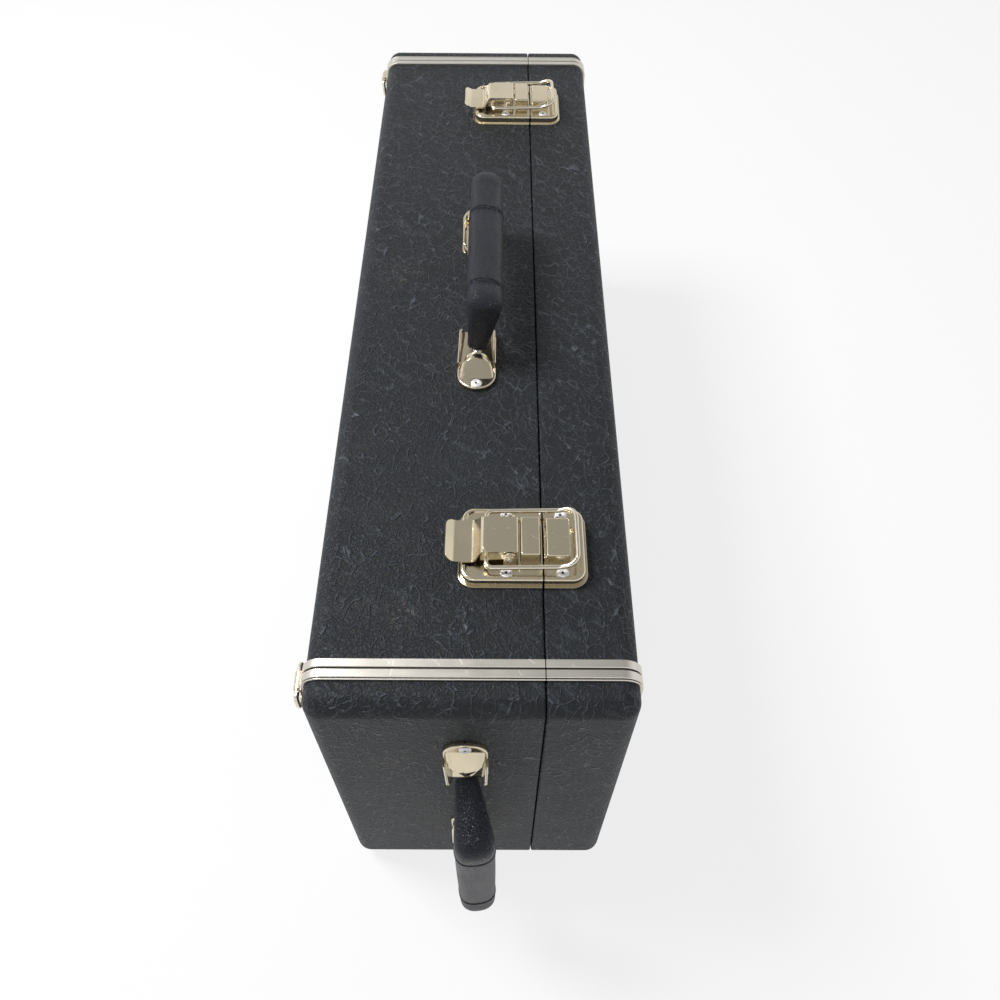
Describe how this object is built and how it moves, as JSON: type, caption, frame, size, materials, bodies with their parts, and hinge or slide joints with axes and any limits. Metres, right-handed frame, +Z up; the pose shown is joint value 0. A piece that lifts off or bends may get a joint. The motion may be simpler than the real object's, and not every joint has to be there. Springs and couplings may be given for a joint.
{
  "type": "trumpet case",
  "caption": "Oblong hard case for a trumpet: covered plywood halves on hinges, with metal end bands, draw latches, two handles, strap rings and a fitted plush interior.",
  "frame": {"origin": "on the standing plane of the four glides, under the middle of the case's length and thickness", "axes": "+Z up to the handle side, +Y along the length away from the end handle, +X through the thickness towards the lid"},
  "size_m": [0.1609, 0.6072, 0.2842],
  "materials": {
    "vinyl": "black grained vinyl cloth, semi-matt",
    "plywood": "plain plywood",
    "band_metal": "satin anodised",
    "latch_plate_metal": "bright warm nickel plate",
    "wire_metal": "bright nickel plate",
    "rivet_metal": "pale bright rivet",
    "grip": "moulded black grained grip",
    "steel": "plain steel",
    "hinge_metal": "nickel plate",
    "glide": "black rubber",
    "plush": "short-pile plush",
    "brass_pin": "plain brass"
  },
  "bodies": {
    "base": {"accessory_box": "plush", "accessory_lid_pin": "brass_pin", "base_back_panel": "plywood", "base_band_far": "band_metal", "base_band_near": "band_metal", "base_covering": "vinyl", "base_far_end_wall": "plywood", "base_feet": "glide", "base_floor_pad": "plush", "base_handle_wall": "plywood", "base_hinge_wall": "plywood", "base_near_end_wall": "plywood", "base_rivets": "rivet_metal", "base_wall_lining": "plush", "bell_rest": "plush", "end_handle_lower_shoe": "latch_plate_metal", "end_handle_upper_shoe": "latch_plate_metal", "handle_rivets": "rivet_metal", "hinge_far_base_leaf": "hinge_metal", "hinge_far_pin": "hinge_metal", "hinge_near_base_leaf": "hinge_metal", "hinge_near_pin": "hinge_metal", "latch_far_base_plate": "latch_plate_metal", "latch_far_lever_pin": "steel", "latch_near_base_plate": "latch_plate_metal", "latch_near_lever_pin": "steel", "main_handle_far_shoe": "latch_plate_metal", "main_handle_near_shoe": "latch_plate_metal", "mouthpiece_rest": "plush", "strap_clip_far": "latch_plate_metal", "strap_clip_near": "latch_plate_metal", "valve_rest": "plush"},
    "lid": {"hinge_far_lid_leaf": "hinge_metal", "hinge_near_lid_leaf": "hinge_metal", "latch_far_keeper": "latch_plate_metal", "latch_near_keeper": "latch_plate_metal", "lid_band_far": "band_metal", "lid_band_near": "band_metal", "lid_covering": "vinyl", "lid_face_panel": "plywood", "lid_far_end_wall": "plywood", "lid_feet": "glide", "lid_handle_wall": "plywood", "lid_hinge_wall": "plywood", "lid_lining": "plush", "lid_near_end_wall": "plywood", "lid_rivets": "rivet_metal"},
    "lever_near": {"latch_near_lever": "latch_plate_metal"},
    "wire_near": {"latch_near_bail": "wire_metal"},
    "lever_far": {"latch_far_lever": "latch_plate_metal"},
    "wire_far": {"latch_far_bail": "wire_metal"},
    "main_handle": {"main_handle_grip": "grip", "main_handle_core": "steel"},
    "end_handle": {"end_handle_grip": "grip", "end_handle_core": "steel"},
    "ring_near": {"strap_ring_near": "wire_metal"},
    "ring_far": {"strap_ring_far": "wire_metal"},
    "box_lid": {"accessory_lid": "plush"}
  },
  "joints": [
    {"name": "lid_hinge", "type": "hinge", "parent": "base", "child": "lid", "pos_m": [0.0335, 0, 0.0043], "axis": [0, 1, 0], "range_deg": [0, 100]},
    {"name": "latch_near_lever_turn", "type": "hinge", "parent": "base", "child": "lever_near", "pos_m": [0.0174, -0.195, 0.2474], "axis": [0, 1, 0], "range_deg": [0, 110]},
    {"name": "latch_near_wire_turn", "type": "hinge", "parent": "lever_near", "child": "wire_near", "pos_m": [0.0059, -0.195, 0.2466], "axis": [0, 1, 0], "range_deg": [-154, 0]},
    {"name": "latch_far_lever_turn", "type": "hinge", "parent": "base", "child": "lever_far", "pos_m": [0.0174, 0.195, 0.2474], "axis": [0, 1, 0], "range_deg": [0, 110]},
    {"name": "latch_far_wire_turn", "type": "hinge", "parent": "lever_far", "child": "wire_far", "pos_m": [0.0059, 0.195, 0.2466], "axis": [0, 1, 0], "range_deg": [-154, 0]},
    {"name": "main_handle_tilt", "type": "hinge", "parent": "base", "child": "main_handle", "pos_m": [-0.001, -0.0085, 0.2422], "axis": [0, 1, 0], "range_deg": [-45, 31]},
    {"name": "end_handle_tilt", "type": "hinge", "parent": "base", "child": "end_handle", "pos_m": [-0.0035, -0.2852, 0.1215], "axis": [0, 0, 1], "range_deg": [-45, 31]},
    {"name": "strap_ring_near_swing", "type": "hinge", "parent": "base", "child": "ring_near", "pos_m": [-0.08055, -0.2598, 0.2245], "axis": [0, 1, 0], "range_deg": [0, 165]},
    {"name": "strap_ring_far_swing", "type": "hinge", "parent": "base", "child": "ring_far", "pos_m": [-0.08055, 0.2598, 0.2245], "axis": [0, 1, 0], "range_deg": [0, 165]},
    {"name": "box_lid_turn", "type": "hinge", "parent": "base", "child": "box_lid", "pos_m": [-0.014, 0.201, 0.02255], "axis": [0, 1, 0], "range_deg": [0, 90]}
  ],
  "couplings": [
    {"joint": "latch_near_wire_turn", "follows": "latch_near_lever_turn", "ratio": -1.4},
    {"joint": "latch_far_wire_turn", "follows": "latch_far_lever_turn", "ratio": -1.4}
  ]
}
